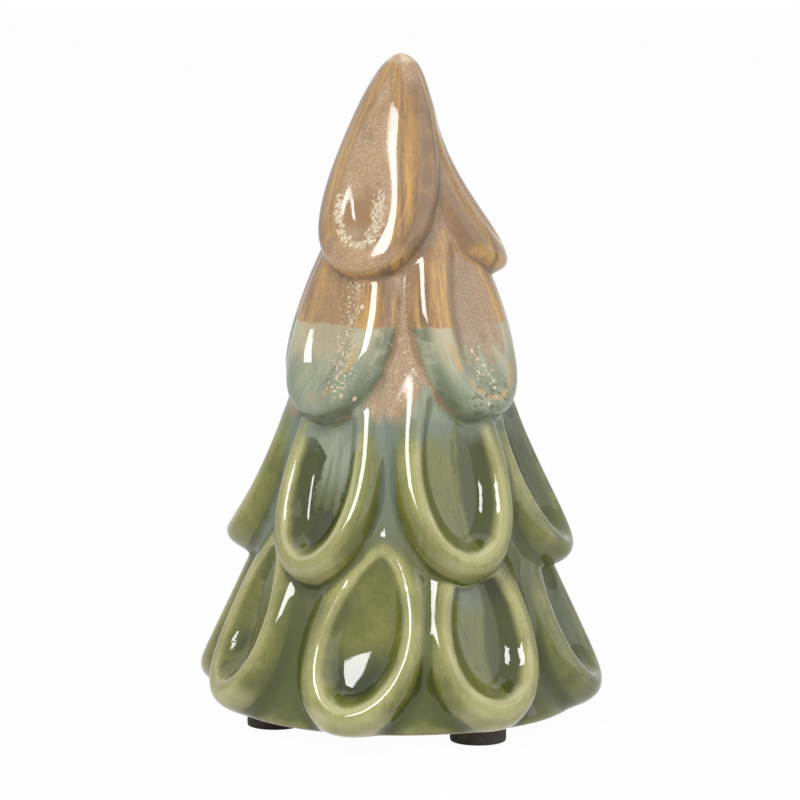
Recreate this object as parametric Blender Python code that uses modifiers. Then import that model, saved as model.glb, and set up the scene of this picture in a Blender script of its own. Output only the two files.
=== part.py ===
"""Slip-cast stoneware christmas tree on felt pads: four tiers of scooped petals round a hollow cone.

The front of the tree looks along -Y. An azimuth is measured from the front, positive toward +X.
Heights in the body's own shape are measured up from its foot, which stands on the pads.
"""

import math
from collections import namedtuple

import bpy
import numpy as np

MM = 0.001

# Body, all heights above its foot
TIP_HEIGHT = 141.1 * MM
FOOT_RADIUS = 38.3 * MM
SHOULDER_HEIGHT = 98.1 * MM
SHOULDER_RADIUS = 16.4 * MM
TIP_CORE_RADIUS = 3.2 * MM
TIP_ROUNDING = 3.3 * MM
TIP_SPREAD = 0.36
FOOT_EDGE_ROUNDING = 1.6 * MM
WALL = 4.5 * MM
FOOT_THICKNESS = 5.0 * MM
TIP_THICKNESS = 18.0 * MM
CAVITY_ROUNDING = 3.0 * MM
DRAIN_HOLE_RADIUS = 8.0 * MM
DRAIN_EDGE_ROUNDING = 0.8 * MM

# How softly one form runs into the next
CONE_BLEND = 1.5 * MM
PETAL_BLEND = 1.2 * MM
TIER_BLEND = 1.8 * MM
TIP_BLEND = 1.5 * MM

# How a petal is shaped
OUTLINE_LIFT = 3.0 * MM     # its outline is drawn this far out from the cone
PETAL_SINK = 2.0 * MM       # its roll runs on this far into the cone
ROLL_POWER = 2.7            # over 2 the roll stays full and then turns in steeply
WALL_SHARE = 0.6            # share of the bowl's depth in its wall, the rest is its curved floor
ROLL_AT_POINT = 0.85        # share of the cheek's width that is left at the pointed top
BOWL_AT_LIP = 1.35          # share of the bowl's depth that is reached at the lip
CREST_SOFTNESS = 0.8 * MM   # the thick glaze evens out edges and creases over this distance
ROLL_REACH = 1.8            # rolls are worked out to this many of their own widths
FAR_BELOW = -1.0            # stands for no petal here

# Felt pads under the foot
PAD_DIAMETER = 12.0 * MM
PAD_THICKNESS = 3.0 * MM
PAD_EDGE_ROUNDING = 0.4 * MM
PAD_INSET = 2.6 * MM
GLUE_THICKNESS = 0.3 * MM
GLUE_SETBACK = 0.4 * MM
GAP = 0.3 * MM
PADS = {"front_right": 35.7, "left": -76.3, "back": 160.0}

# How finely the body is pressed, and how many facets it keeps
COLUMNS = 272
ROWS = 180
OUTLINE_SAMPLES = 500
OUTLINE_COLUMNS = 72
TIP_CLOSENESS = 2.0
CREST_STEPS = 160
CAVITY_RINGS = 5
BODY_FACETS = 9600
PAD_SIDES = 32

Tier = namedtuple("Tier", "lip tuck reach half_width widest cheek drop bowl point_depth shoulder flare petals")
Petal = namedtuple("Petal", "azimuth reach lip half_width flare lean skew", defaults=(0.0,) * 6)


def tier(lip, tuck, reach, half_width, widest, cheek, drop, bowl, point_depth, shoulder, flare, petals):
    """One ring of petals; sizes in millimetres become metres here.

    lip: height of the rim's lowest point, tuck: how far the pointed top runs up past the lip of
    the tier above, reach: radius of the rim at the lip, half_width: of the rim's outline at its
    widest, which lies the share widest of the way down, cheek and drop: how far the rim rolls over
    sideways and downward, bowl: depth of the scoop, point_depth: share of that depth at the
    pointed top, where under 0 the scoop starts lower down, shoulder: width of the wall between the
    rim and the bowl's floor, flare: over 1 the petal kicks out at its lip, petals: their azimuths
    and their own small changes, in millimetres too. A petal's lean turns its pointed top by that
    many degrees, and a bowl with a skew is deeper on one side, by that share at most.
    """
    return Tier(lip * MM, tuck * MM, reach * MM, half_width * MM, widest,
                cheek * MM, drop * MM, bowl * MM, point_depth, shoulder * MM, flare, petals)


SKIRT = tier(lip=7.3, tuck=1.5, reach=44.4, half_width=9.2, widest=0.58, cheek=7.0, drop=7.6,
             bowl=5.0, point_depth=0.5, shoulder=3.8, flare=0.95,
             petals=(Petal(-104, reach=0.4, lip=0.4), Petal(-63.5, half_width=-0.9, skew=-0.1),
                     Petal(-16.3, lip=-1.7, half_width=0.2, lean=9),
                     Petal(29.5, lip=-0.8, half_width=0.3, skew=0.25),
                     Petal(77, reach=-0.2, flare=0.1, skew=0.2), Petal(121), Petal(166), Petal(211)))
LOWER = tier(lip=37.0, tuck=7.5, reach=37.9, half_width=9.4, widest=0.57, cheek=7.0, drop=7.0,
             bowl=4.8, point_depth=0.5, shoulder=3.6, flare=1.05,
             petals=(Petal(-93, lip=1.8), Petal(-35, lip=-0.9, half_width=-0.8, skew=-0.2),
                     Petal(25, half_width=0.2, skew=0.25), Petal(76, flare=0.2, skew=0.2),
                     Petal(140), Petal(208)))
UPPER = tier(lip=69.1, tuck=6.5, reach=29.3, half_width=9.2, widest=0.6, cheek=9.3, drop=6.2,
             bowl=3.2, point_depth=0.5, shoulder=5.5, flare=0.8,
             petals=(Petal(-43, half_width=-0.2), Petal(45, half_width=-0.6), Petal(136), Petal(226)))
CROWN = tier(lip=99.9, tuck=2.0, reach=21.6, half_width=8.0, widest=0.7, cheek=11.0, drop=7.2,
             bowl=3.6, point_depth=-0.6, shoulder=5.5, flare=1.0,
             petals=(Petal(-27, reach=1.3, half_width=-0.2, flare=-0.3, skew=-0.4),
                     Petal(86, reach=1.9, lip=-0.5, half_width=-1.0, flare=0.5),
                     Petal(200)))
TIERS = (SKIRT, LOWER, UPPER, CROWN)


def tuck_height(ring):
    """Height of the pointed tops of a tier's petals, under the tier above or over the tip."""
    above = TIERS.index(ring) + 1
    covered_at = TIERS[above].lip if above < len(TIERS) else TIP_HEIGHT
    return covered_at + ring.tuck


def soft_max(a, b, blend):
    """The larger of two values, with the corner between them rounded."""
    share = np.clip(blend - np.abs(a - b), 0.0, None) / blend
    return np.maximum(a, b) + share * share * blend / 4.0


def soft_min(a, b, blend):
    return -soft_max(-a, -b, blend)


def cone_radius(height):
    """Radius of the plain cone under the petals: it closes faster above the crown's lips."""
    lower = FOOT_RADIUS + (SHOULDER_RADIUS - FOOT_RADIUS) * height / SHOULDER_HEIGHT
    upper = SHOULDER_RADIUS + ((TIP_CORE_RADIUS - SHOULDER_RADIUS)
                               * (height - SHOULDER_HEIGHT) / (TIP_HEIGHT - SHOULDER_HEIGHT))
    return soft_min(lower, upper, CONE_BLEND)


def crest_half_width(along, half_width, widest):
    """Half width of the drop that a rim's crest draws; along runs from its point, 0, to its lip, 1."""
    power = 0.5 * widest / (1.0 - widest)
    peak = widest ** power * math.sqrt(1.0 - widest)
    along = np.clip(along, 0.0, 1.0)
    return half_width * along ** power * np.sqrt(1.0 - along) / peak


def nearest_on_crest(across, height, top, lip, half_width, widest):
    """Distance from each point to the crest's outline, and how far along the petal that lies."""
    along = 0.5 - 0.5 * np.cos(np.linspace(0.0, math.pi, CREST_STEPS))
    crest_across = crest_half_width(along, half_width, widest)
    crest_height = top - along * (top - lip)
    distance = np.hypot(across[:, None] - crest_across, height[:, None] - crest_height)
    nearest = distance.argmin(axis=1)
    return distance[np.arange(len(nearest)), nearest], along[nearest]


def petal_form(azimuth, height, ring, petal):
    """How far one petal stands out from the cone, and how deep its bowl is scooped, at each point."""
    lip = ring.lip + petal.lip * MM
    top = tuck_height(ring)
    half_width = ring.half_width + petal.half_width * MM
    middle = petal.azimuth + petal.lean * np.clip((height - lip) / (top - lip), 0.0, 1.0)
    turn = (azimuth - np.radians(middle) + math.pi) % (2.0 * math.pi) - math.pi
    side = turn * (cone_radius(height) + OUTLINE_LIFT)
    beside = np.abs(side) < half_width + ROLL_REACH * ring.cheek
    near = beside & (height > lip - ROLL_REACH * ring.drop) & (height < top + ROLL_REACH * ring.cheek)
    dome = np.full(height.shape, FAR_BELOW)
    scoop = np.zeros(height.shape)
    dome[near], scoop[near] = near_petal(side[near], height[near], ring, petal, half_width, lip, top)
    return dome, scoop


def near_petal(side, height, ring, petal, half_width, lip, top):
    """The petal's form at points on it or close to it."""
    across = np.abs(side)
    along = (top - height) / (top - lip)
    crest = crest_half_width(along, half_width, ring.widest)
    inside = (across < crest) & (along > 0.0) & (along < 1.0)

    gap, nearest = nearest_on_crest(across, height, top, lip, half_width, ring.widest)
    distance = np.where(inside, 0.0, gap)
    nearest = np.where(inside, np.clip(along, 0.0, 1.0), nearest)
    level = top - nearest * (top - lip)
    top_radius = cone_radius(top)
    reach = ring.reach + petal.reach * MM
    rim_radius = top_radius + (reach - top_radius) * nearest ** (ring.flare + petal.flare)
    rise = np.maximum(rim_radius - cone_radius(level), 0.0)

    downward = np.clip((level - height) / np.maximum(distance, 1e-9), 0.0, 1.0)
    cheek = ring.cheek * (ROLL_AT_POINT + (1.0 - ROLL_AT_POINT) * nearest)
    roll = cheek * (1.0 - downward) + ring.drop * downward
    fall = (distance / roll) ** ROLL_POWER
    dome = rise - (rise + PETAL_SINK) * fall

    depth = np.clip(crest * crest - across * across, 0.0, None) / half_width ** 2
    share = ring.point_depth + (BOWL_AT_LIP - ring.point_depth) * np.clip(along, 0.0, 1.0)
    deepest = ring.bowl * np.maximum(share, 0.0) * (1.0 + petal.skew * side / half_width)
    wall = np.clip(gap / ring.shoulder, 0.0, 1.0)
    wall = wall ** 3 * (10.0 - 15.0 * wall + 6.0 * wall ** 2)
    scoop = deepest * wall * (WALL_SHARE + (1.0 - WALL_SHARE) * depth)
    return dome, np.where(inside, scoop, 0.0)


def body_radius(azimuth, height):
    """Radius of the glazed outside at each azimuth and height."""
    radius = cone_radius(height)
    for ring in TIERS:
        forms = [petal_form(azimuth, height, ring, petal) for petal in ring.petals]
        dome = forms[0][0]
        for other, _ in forms[1:]:
            dome = soft_max(dome, other, PETAL_BLEND)
        scoop = np.max([bowl for _, bowl in forms], axis=0)
        radius = soft_max(radius, cone_radius(height) + dome, TIER_BLEND) - scoop
    from_tip = np.clip(TIP_HEIGHT - height, 0.0, None)
    tip = np.sqrt(2.0 * TIP_ROUNDING * from_tip + (TIP_SPREAD * from_tip) ** 2)
    radius = soft_min(radius, tip, TIP_BLEND)
    below = 1.0 - np.clip(height / FOOT_EDGE_ROUNDING, 0.0, 1.0)
    return np.maximum(radius - FOOT_EDGE_ROUNDING * (1.0 - np.sqrt(1.0 - below ** 2)), 0.0)


def row_heights():
    """Heights of the body's rows of points, even down its outline and closer over the round tip."""
    height = np.linspace(TIP_HEIGHT, 0.0, OUTLINE_SAMPLES)
    azimuth = np.linspace(0.0, 2.0 * math.pi, OUTLINE_COLUMNS, endpoint=False)
    azimuths, heights = np.meshgrid(azimuth, height)
    radii = body_radius(azimuths.ravel(), heights.ravel()).reshape(heights.shape)
    step = np.hypot(np.diff(radii.max(axis=1)), np.diff(height))
    step *= 1.0 + TIP_CLOSENESS * np.exp((height[1:] - TIP_HEIGHT) / (2.0 * TIP_ROUNDING))
    walked = np.concatenate(([0.0], np.cumsum(step)))
    return np.interp(np.linspace(0.0, walked[-1], ROWS + 1), walked, height)


def smoothed(grid, times):
    """A grid of radii, rows of heights by columns round the body, evened out with its neighbours."""
    for _ in range(times):
        sideways = 0.5 * grid + 0.25 * (np.roll(grid, 1, axis=1) + np.roll(grid, -1, axis=1))
        padded = np.vstack((sideways[:1], sideways, sideways[-1:]))
        grid = 0.5 * sideways + 0.25 * (padded[:-2] + padded[2:])
    return grid


def skin_radii(heights):
    """Radii of the glazed outside, one row for each height, from +X round toward +Y."""
    azimuths, levels = np.meshgrid(math.pi / 2.0 + np.arange(COLUMNS) * 2.0 * math.pi / COLUMNS, heights)
    radii = body_radius(azimuths.ravel(), levels.ravel()).reshape(levels.shape)
    cell = 2.0 * math.pi * FOOT_RADIUS / COLUMNS
    return smoothed(radii, round(2.0 * (CREST_SOFTNESS / cell) ** 2))


def cavity_radius(height):
    """The slip casts a wall of even thickness behind the plain cone."""
    return cone_radius(height) - WALL


def turned_profile(heights):
    """The blank's outline as (radius, height): down the outside, in under the foot, up the cavity."""
    points = [(0.0, heights[0])]
    points += [(float(cone_radius(height)), height) for height in heights[1:]]
    hole = DRAIN_HOLE_RADIUS
    edge = DRAIN_EDGE_ROUNDING
    points += [(hole + edge, 0.0), (hole, edge), (hole, FOOT_THICKNESS - edge), (hole + edge, FOOT_THICKNESS)]
    cavity_top = TIP_HEIGHT - TIP_THICKNESS
    cavity_shoulder = cavity_top - float(cavity_radius(cavity_top)) - CAVITY_ROUNDING
    for height in np.linspace(FOOT_THICKNESS, cavity_shoulder, CAVITY_RINGS):
        points.append((float(cavity_radius(height)), float(height)))
    points.append((0.0, cavity_top))
    return points


def new_material(name, colour, roughness):
    material = bpy.data.materials.new(name)
    material.use_nodes = True
    shader = material.node_tree.nodes["Principled BSDF"]
    shader.inputs["Base Color"].default_value = (*colour, 1.0)
    shader.inputs["Roughness"].default_value = roughness
    shader.inputs["Metallic"].default_value = 0.0
    material.diffuse_color = (*colour, 1.0)
    return material


def new_object(name, mesh, material, collection, parent):
    thing = bpy.data.objects.new(name, mesh)
    mesh.materials.append(material)
    collection.objects.link(thing)
    thing.parent = parent
    return thing


def evaluated_mesh(thing):
    """A plain mesh of the object with its modifiers applied."""
    bpy.context.view_layer.update()
    depsgraph = bpy.context.evaluated_depsgraph_get()
    return bpy.data.meshes.new_from_object(thing.evaluated_get(depsgraph))


def make_body(collection, parent, glaze):
    """Turn the hollow blank, then press the petals into its outside."""
    heights = row_heights()
    points = turned_profile(heights)
    profile = bpy.data.meshes.new("body_profile")
    profile.from_pydata([(radius, 0.0, height) for radius, height in points],
                        [(i, i + 1) for i in range(len(points) - 1)], [])
    body = new_object("stoneware_body", profile, glaze, collection, parent)
    turn = body.modifiers.new("turned", "SCREW")
    turn.axis = "Z"
    turn.angle = 2.0 * math.pi
    turn.steps = COLUMNS
    turn.render_steps = COLUMNS
    turn.use_merge_vertices = True
    turn.merge_threshold = 0.01 * MM
    mesh = evaluated_mesh(body)
    body.modifiers.clear()
    body.data = mesh
    mesh.name = "stoneware_body"
    bpy.data.meshes.remove(profile)

    spots = np.empty(len(mesh.vertices) * 3)
    mesh.vertices.foreach_get("co", spots)
    spots = spots.reshape(-1, 3)
    height = np.clip(spots[:, 2], 0.0, TIP_HEIGHT)
    on_skin = np.abs(np.hypot(spots[:, 0], spots[:, 1]) - cone_radius(height)) < 0.01 * MM
    angle = np.arctan2(spots[on_skin, 1], spots[on_skin, 0])
    row = np.abs(height[on_skin][:, None] - heights[1:]).argmin(axis=1)
    column = np.rint(angle / (2.0 * math.pi) * COLUMNS).astype(int) % COLUMNS
    radius = skin_radii(heights[1:])[row, column]
    spots[on_skin, 0] = radius * np.cos(angle)
    spots[on_skin, 1] = radius * np.sin(angle)
    mesh.vertices.foreach_set("co", spots.ravel())
    mesh.shade_smooth()
    mesh.set_sharp_from_angle(angle=math.radians(50.0))
    mesh.update()
    mesh.calc_loop_triangles()
    thin_out = body.modifiers.new("fewer_facets", "DECIMATE")
    thin_out.ratio = BODY_FACETS / len(mesh.loop_triangles)
    body.location.z = PAD_THICKNESS + GLUE_THICKNESS + 2.0 * GAP
    return body


def make_disc(name, radius, thickness, rounding, material, collection, parent):
    """A flat round disc, resting on its own origin."""
    bpy.ops.mesh.primitive_cylinder_add(vertices=PAD_SIDES, radius=radius, depth=thickness)
    disc = bpy.context.object
    disc.name = name
    disc.data.name = name
    disc.data.materials.append(material)
    for holder in list(disc.users_collection):
        holder.objects.unlink(disc)
    collection.objects.link(disc)
    disc.parent = parent
    if rounding:
        edge = disc.modifiers.new("rounded_edge", "BEVEL")
        edge.width = rounding
        edge.segments = 2
        edge.limit_method = "ANGLE"
        edge.angle_limit = math.radians(50.0)
    disc.data.shade_smooth()
    disc.data.set_sharp_from_angle(angle=math.radians(50.0))
    return disc


def make_pads(collection, parent, felt, glue):
    """Three felt pads near the foot's edge, each stuck on by its own adhesive disc."""
    ring_radius = FOOT_RADIUS - FOOT_EDGE_ROUNDING - PAD_INSET - PAD_DIAMETER / 2.0
    glue_level = PAD_THICKNESS + GAP
    for place, degrees in PADS.items():
        azimuth = math.radians(degrees)
        x = ring_radius * math.sin(azimuth)
        y = -ring_radius * math.cos(azimuth)
        pad = make_disc("felt_pad_" + place, PAD_DIAMETER / 2.0, PAD_THICKNESS, PAD_EDGE_ROUNDING,
                        felt, collection, parent)
        pad.location = (x, y, PAD_THICKNESS / 2.0)
        disc = make_disc("adhesive_disc_" + place, PAD_DIAMETER / 2.0 - GLUE_SETBACK, GLUE_THICKNESS, 0.0,
                         glue, collection, parent)
        disc.location = (x, y, glue_level + GLUE_THICKNESS / 2.0)


def centre_over_origin(body, parent):
    """Shift everything so that the body's outer box stands centred over the origin."""
    spots = np.empty(len(body.data.vertices) * 3)
    body.data.vertices.foreach_get("co", spots)
    spots = spots.reshape(-1, 3)
    middle = (spots.min(axis=0) + spots.max(axis=0)) / 2.0
    parent.location = (-middle[0], -middle[1], 0.0)


def main():
    for thing in list(bpy.data.objects):
        bpy.data.objects.remove(thing, do_unlink=True)
    collection = bpy.data.collections.new("christmas_tree_figurine")
    bpy.context.scene.collection.children.link(collection)
    centre = bpy.data.objects.new("tree_centre", None)
    collection.objects.link(centre)

    glaze = new_material("reactive_glaze", (0.30, 0.33, 0.13), 0.12)
    felt = new_material("black_brown_felt", (0.03, 0.025, 0.022), 0.95)
    glue = new_material("clear_adhesive", (0.70, 0.68, 0.60), 0.4)
    body = make_body(collection, centre, glaze)
    make_pads(collection, centre, felt, glue)
    centre_over_origin(body, centre)
    bpy.context.view_layer.update()


main()
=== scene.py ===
"""Glazed stoneware christmas tree: the looks of its glaze, felt and glue, and a plain studio round it.

The sizes of the shape are in millimetres, and its heights are counted from the foot, as a potter
would note them. The scene and the heights in the materials are in metres over the table.
"""

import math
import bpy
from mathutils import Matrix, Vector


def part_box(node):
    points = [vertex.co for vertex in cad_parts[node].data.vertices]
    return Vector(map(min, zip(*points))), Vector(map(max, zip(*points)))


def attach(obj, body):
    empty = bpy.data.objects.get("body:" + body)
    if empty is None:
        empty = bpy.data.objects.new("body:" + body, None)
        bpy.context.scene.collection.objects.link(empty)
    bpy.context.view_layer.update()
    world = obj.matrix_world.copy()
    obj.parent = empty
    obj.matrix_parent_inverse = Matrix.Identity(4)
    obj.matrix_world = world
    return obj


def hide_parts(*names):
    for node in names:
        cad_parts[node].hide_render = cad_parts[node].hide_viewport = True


bl_info = {
    "name": "Glazed stoneware christmas tree",
    "version": (1, 0, 0),
    "blender": (4, 5, 0),
    "location": "3D View > Sidebar > Christmas Tree",
    "description": "Builds the glazed body, crawled beads, felt pads and studio of a stoneware tree",
    "category": "Add Mesh",
}

from collections import namedtuple

import bmesh
import bpy
import numpy as np
from bpy.props import FloatProperty, FloatVectorProperty, IntProperty, PointerProperty

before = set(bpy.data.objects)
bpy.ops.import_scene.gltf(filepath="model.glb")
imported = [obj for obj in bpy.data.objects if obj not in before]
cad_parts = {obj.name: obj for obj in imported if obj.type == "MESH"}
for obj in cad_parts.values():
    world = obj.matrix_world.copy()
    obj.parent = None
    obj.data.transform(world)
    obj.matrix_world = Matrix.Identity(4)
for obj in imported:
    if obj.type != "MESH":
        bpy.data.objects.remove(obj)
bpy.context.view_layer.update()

MM = 0.001
BODY_NODE = "stoneware_body"
PAD_NODES = sorted(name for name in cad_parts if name.startswith("felt_pad_"))
GLUE_NODES = sorted(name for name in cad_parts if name.startswith("adhesive_disc_"))
BODY_LOW, BODY_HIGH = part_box(BODY_NODE)

# The cone under the petals, in millimetres above the foot
TIP_HEIGHT = 141.1
FOOT_RADIUS = 38.3
SHOULDER_HEIGHT = 98.1
SHOULDER_RADIUS = 16.4
TIP_CORE_RADIUS = 3.2
TIP_ROUNDING = 3.3
TIP_SPREAD = 0.36
FOOT_EDGE_ROUNDING = 1.6
CONE_BLEND = 1.5
PETAL_BLEND = 1.2
TIER_BLEND = 1.8
TIP_BLEND = 1.5

# The foot's inside edge, the drain hole and the hollow, which hardly show
FOOT_RIM_SHARE = 0.45
HOLE_EDGE = 0.8
HOLLOW_BELOW_TIP = 18.0
HOLLOW_TAPER = 7.3
HOLLOW_STEPS = 12

# How a petal is shaped
OUTLINE_LIFT = 3.0
PETAL_SINK = 2.0
ROLL_POWER = 2.7
WALL_SHARE = 0.6
ROLL_AT_POINT = 0.85
BOWL_AT_LIP = 1.35
CREST_SOFTNESS = 0.8
ROLL_REACH = 1.8
CREST_STEPS = 260
POINTS_AT_ONCE = 20000

# What the chart says away from every petal
FAR_BELOW = -1000.0
FAR_OFF = 20.0

# How far the form is evened out with its neighbours before the glaze reads it
FINE_STEPS = 6
BROAD_STEPS = 60
PROUD_STEPS = 4
RIM_STEPS = 2

# In millimetres: how far under the outside a petal still rules the glaze, how far off the cone a
# point still counts as skin, how high the glaze starts, and how far the body stays inside its box
SHOWS_WITHIN = 0.3
SKIN_TOLERANCE = 0.005
GLAZE_STARTS = 0.25
CLEARANCE = 0.08

Tier = namedtuple("Tier", ("lip", "tuck", "reach", "half_width", "widest", "cheek", "drop", "bowl",
                           "point_depth", "shoulder", "flare", "petals"))
Petal = namedtuple("Petal", "azimuth reach lip half_width flare lean skew", defaults=(0.0,) * 6)

SKIRT = Tier(lip=7.3, tuck=1.5, reach=44.4, half_width=9.2, widest=0.58, cheek=7.0, drop=7.6,
             bowl=5.0, point_depth=0.5, shoulder=3.8, flare=0.95,
             petals=(Petal(-104, reach=0.4, lip=0.4), Petal(-63.5, half_width=-0.9, skew=-0.1),
                     Petal(-16.3, lip=-1.7, half_width=0.2, lean=9),
                     Petal(29.5, lip=-0.8, half_width=0.3, skew=0.25),
                     Petal(77, reach=-0.2, flare=0.1, skew=0.2), Petal(121), Petal(166), Petal(211)))
LOWER = Tier(lip=37.0, tuck=7.5, reach=37.9, half_width=9.4, widest=0.57, cheek=7.0, drop=7.0,
             bowl=4.8, point_depth=0.5, shoulder=3.6, flare=1.05,
             petals=(Petal(-93, lip=1.8), Petal(-35, lip=-0.9, half_width=-0.8, skew=-0.2),
                     Petal(25, half_width=0.2, skew=0.25), Petal(76, flare=0.2, skew=0.2),
                     Petal(140), Petal(208)))
UPPER = Tier(lip=69.1, tuck=6.5, reach=29.3, half_width=9.2, widest=0.6, cheek=9.3, drop=6.2,
             bowl=3.2, point_depth=0.5, shoulder=5.5, flare=0.8,
             petals=(Petal(-43, half_width=-0.2), Petal(45, half_width=-0.6), Petal(136), Petal(226)))
CROWN = Tier(lip=99.9, tuck=2.0, reach=21.6, half_width=8.0, widest=0.7, cheek=11.0, drop=7.2,
             bowl=3.6, point_depth=-0.6, shoulder=5.5, flare=1.0,
             petals=(Petal(-27, reach=1.3, half_width=-0.2, flare=-0.3, skew=-0.4),
                     Petal(86, reach=1.9, lip=-0.5, half_width=-1.0, flare=0.5),
                     Petal(200)))
TIERS = (SKIRT, LOWER, UPPER, CROWN)
CHART_NAMES = ("rim", "along", "deep_side", "proud", "fine_pool", "broad_pool", "tier", "petal")

# Heights over the table, in metres, between which one glaze gives way to the next, or painted shade fades in
# or out
FOOT_BREAK = (0.0065, 0.0035)
SHADED_PETAL_GAPS = (0.046, 0.034)
VALLEY_MIST = (0.024, 0.046)
MIST_TO_VEIL = (0.050, 0.036)
CREASE_SHADE_BELOW = (0.058, 0.046)
MIST_ON_TOP = (0.062, 0.071)
GREEN_TO_CELADON = (0.067, 0.0715)
VALLEY_FILM = (0.067, 0.072)
BOWL_FILM = (0.079, 0.086)
SAGE_TO_IVORY = (0.0755, 0.0875)
STREAKS_BEGIN = (0.086, 0.076)
CROWN_CHEEK_SHADE = (0.092, 0.100)
TIP_SPOT = (0.1428, 0.1438)
DIP_LINE_BLUR = (-0.0003, 0.0004)

# The crown's pool: where its edge lies inside the rim at the left and off the middle at the right, how
# fast it fades there, and the share of the way down its petal at which its crawled ring starts
POOL_LEFT, POOL_LEFT_SLOPE = 2.2, -1.3
POOL_RIGHT, POOL_RIGHT_SLOPE = 0.47, 3.0
POOL_TOP = 0.70

# The upper tier's crawled spots, in degrees round the tree and millimetres over the table
TRAIL_TURN = -29.0
TRAIL_SWAY = 4.0
TRAIL_LOW, TRAIL_HIGH = 73.5, 100.0
BOWL_SPOTS_TURN = 44.0
BOWL_SPOTS_HEIGHT = 78.5
BEAD_OVERLAP = 0.85

# Each light's name, place, width and height in metres, and the setting that holds its power
LIGHTS = (("key_softbox", (-0.33, -0.80, 0.74), (0.34, 0.46), "key_power"),
          ("right_card", (0.60, -0.26, 0.28), (0.85, 0.75), "fill_power"),
          ("top_light", (0.05, 0.10, 0.85), (0.60, 0.60), "top_power"))
SENSOR_WIDTH = 36.0
FLOOR_SIZE = 6.0
FLOOR_DROP = 0.0002


class TreeSizes(bpy.types.PropertyGroup):
    """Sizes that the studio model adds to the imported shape."""
    columns: IntProperty(name="Columns", default=326, min=60, description="Points round the body")
    rows: IntProperty(name="Rows", default=276, min=60, description="Rows of points down the body")
    glaze_inset: FloatProperty(name="Glaze inset", default=0.08 * MM, unit="LENGTH", precision=5,
                               description="How far the glaze stays inside the packed solid's facets")
    drain_radius: FloatProperty(name="Drain hole radius", default=8.0 * MM, unit="LENGTH",
                                description="Radius of the drain hole through the foot")
    wall: FloatProperty(name="Wall", default=4.5 * MM, unit="LENGTH",
                        description="Thickness of the slip-cast wall")
    foot_thickness: FloatProperty(name="Foot thickness", default=5.0 * MM, unit="LENGTH",
                                  description="Thickness of the closed foot")
    dip_height: FloatProperty(name="Dip line height", default=88.3 * MM, unit="LENGTH",
                              description="Height over the table where the brown glaze ends")


class BeadSizes(bpy.types.PropertyGroup):
    """How the pale glaze crawled into beads."""
    crown_beads: IntProperty(name="Crown beads", default=170, min=0,
                             description="Beads round the pool of the crown's front bowl")
    trail_beads: IntProperty(name="Trail beads", default=75, min=0,
                             description="Beads down the upper tier's left bowl")
    bowl_beads: IntProperty(name="Bowl beads", default=26, min=0,
                            description="Beads at the end of the film in the upper tier's right bowl")
    smallest: FloatProperty(name="Smallest bead", default=0.15 * MM, unit="LENGTH", precision=5,
                            description="Radius of the smallest bead")
    largest: FloatProperty(name="Largest bead", default=0.55 * MM, unit="LENGTH", precision=5,
                           description="Radius of the largest bead")
    flatness: FloatProperty(name="Flatness", default=0.35, min=0.05, max=1.0,
                            description="Height of a bead against its radius")
    seed: IntProperty(name="Seed", default=12, description="Where the beads fall")


def colour(name, value, text):
    return FloatVectorProperty(name=name, subtype="COLOR", size=3, min=0.0, max=1.0, default=value,
                               description=text)


class GlazeColours(bpy.types.PropertyGroup):
    """Colours of the glazes, as linear values."""
    caramel: colour("Caramel", (0.37, 0.215, 0.092), "Brown glaze of the crown")
    gold: colour("Gold", (0.56, 0.335, 0.105), "Golden streaks where the brown glaze runs thin")
    mauve: colour("Mauve", (0.43, 0.295, 0.188), "Pebbled film down the crown's bowls and valleys")
    # Umber also paints shade on the crown's cheeks and in its creases.
    umber: colour("Umber", (0.185, 0.117, 0.066), "Dark streaks of the brown glaze and its creases")
    cream: colour("Cream", (0.70, 0.59, 0.42), "Crawled spots of pale glaze")
    ivory: colour("Ivory", (0.47, 0.43, 0.28), "Celadon just under the dip line")
    sage: colour("Sage", (0.305, 0.335, 0.235), "Celadon lower down")
    # Teal also paints shade on the celadon's outer rolls.
    teal: colour("Teal", (0.190, 0.225, 0.155), "Deeper blue green streaks in the celadon")
    mist: colour("Mist", (0.175, 0.205, 0.155), "Grey-blue film in the valleys")
    veil: colour("Veil", (0.150, 0.160, 0.058), "Grey-olive film in the turned bowls")
    olive: colour("Olive", (0.185, 0.198, 0.040), "Green glaze of the lower tiers")
    straw: colour("Straw", (0.375, 0.370, 0.142), "Pale yellow green on the rims")
    lemon: colour("Lemon", (0.53, 0.51, 0.27), "Palest glaze, where it breaks over an edge")
    # Moss and night green also paint shade in creases, gaps between petals, bowl bottoms and outer rolls.
    moss: colour("Moss", (0.085, 0.100, 0.016), "Deep green where the glaze pools")
    night: colour("Night green", (0.028, 0.036, 0.011), "Darkest pool at the bottom of a bowl")
    clay: colour("Bare clay", (0.55, 0.40, 0.26), "Unglazed stoneware of the foot")


class PadLook(bpy.types.PropertyGroup):
    """Felt pads and the glue over them."""
    felt: colour("Felt", (0.095, 0.092, 0.088), "Black-brown pressed felt")
    fibre: colour("Fibre", (0.19, 0.17, 0.15), "Paler loose fibres in the felt")
    glue: colour("Glue", (0.62, 0.60, 0.52), "Adhesive film over each pad")


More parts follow.
